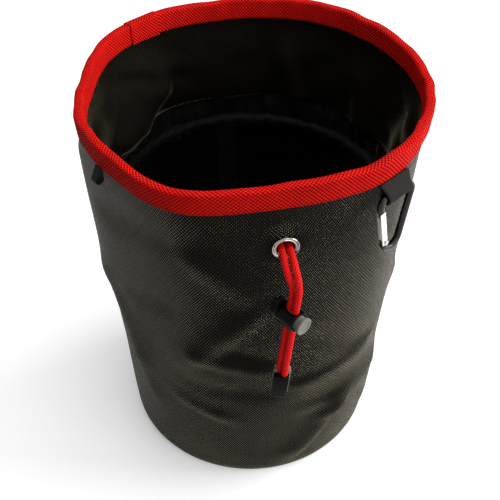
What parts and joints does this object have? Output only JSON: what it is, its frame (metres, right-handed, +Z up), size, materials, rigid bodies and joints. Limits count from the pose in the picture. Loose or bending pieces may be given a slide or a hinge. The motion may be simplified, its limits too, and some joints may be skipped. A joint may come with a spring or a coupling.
{
  "type": "peg bag",
  "caption": "Tapered round fabric peg bag with a bound rim, a drawcord collar inside the mouth, a sprung cord lock on the cord and a small carabiner to hang it from a line.",
  "frame": {"origin": "centre of the base, on the surface that the bag stands on", "axes": "+Z up, the eyelet and drawcord at -Y, +X to the right seen from the front"},
  "size_m": [0.1912, 0.2113, 0.24],
  "materials": {
    "coated_weave": "coarse coated weave, low sheen",
    "black_tape": "flat woven tape",
    "red_webbing": "ribbed webbing",
    "lining": "thin smooth weave",
    "red_cord": "round braid",
    "nickel": "nickel plated",
    "black_plastic": "moulded, semi-gloss",
    "grey_plastic": "moulded, satin",
    "spring_steel": "bright wire",
    "label_webbing": "flat woven webbing",
    "black_anodised": "black, satin",
    "silver": "bright, satin"
  },
  "bodies": {
    "bag": {"wall_panel": "coated_weave", "base_panel": "coated_weave", "base_seam_tape": "black_tape", "back_seam_tape": "black_tape", "rim_binding": "red_webbing", "inner_collar": "lining", "collar_hem": "lining", "drawcord_ring": "red_cord", "drawcord_left": "red_cord", "drawcord_right": "red_cord", "eyelet": "nickel", "eyelet_washer": "nickel", "cord_end_front": "black_plastic", "cord_end_back": "grey_plastic", "label_loop": "label_webbing", "side_loop": "black_tape"},
    "cord_lock": {"cord_lock_body": "black_plastic", "cord_lock_spring": "spring_steel"},
    "lock_button": {"cord_lock_button": "grey_plastic"},
    "carabiner": {"carabiner_body": "black_anodised", "gate_rivet": "spring_steel"},
    "gate": {"carabiner_gate": "silver", "gate_spring": "spring_steel"}
  },
  "joints": [
    {"name": "lock_slide", "type": "slide", "parent": "bag", "child": "cord_lock", "axis": [0.0995, 0, 0.995], "range_m": [-0.033, 0.011]},
    {"name": "lock_press", "type": "slide", "parent": "cord_lock", "child": "lock_button", "axis": [-0.5264, 0.8486, 0.0526], "range_m": [0, 0.002], "stiffness_N_per_m": 800, "springref_m": -0.006, "deforming": ["cord_lock_spring"]},
    {"name": "carabiner_swing", "type": "hinge", "parent": "bag", "child": "carabiner", "pos_m": [0.05602, -0.08463, 0.221], "axis": [-0.8339, -0.5519, 0], "range_deg": [-9, 150]},
    {"name": "gate_open", "type": "hinge", "parent": "carabiner", "child": "gate", "pos_m": [0.05068, -0.08816, 0.19373], "axis": [-0.5519, 0.8339, 0], "range_deg": [0, 25], "stiffness_Nm_per_rad": 0.15, "springref_deg": -17.19}
  ]
}
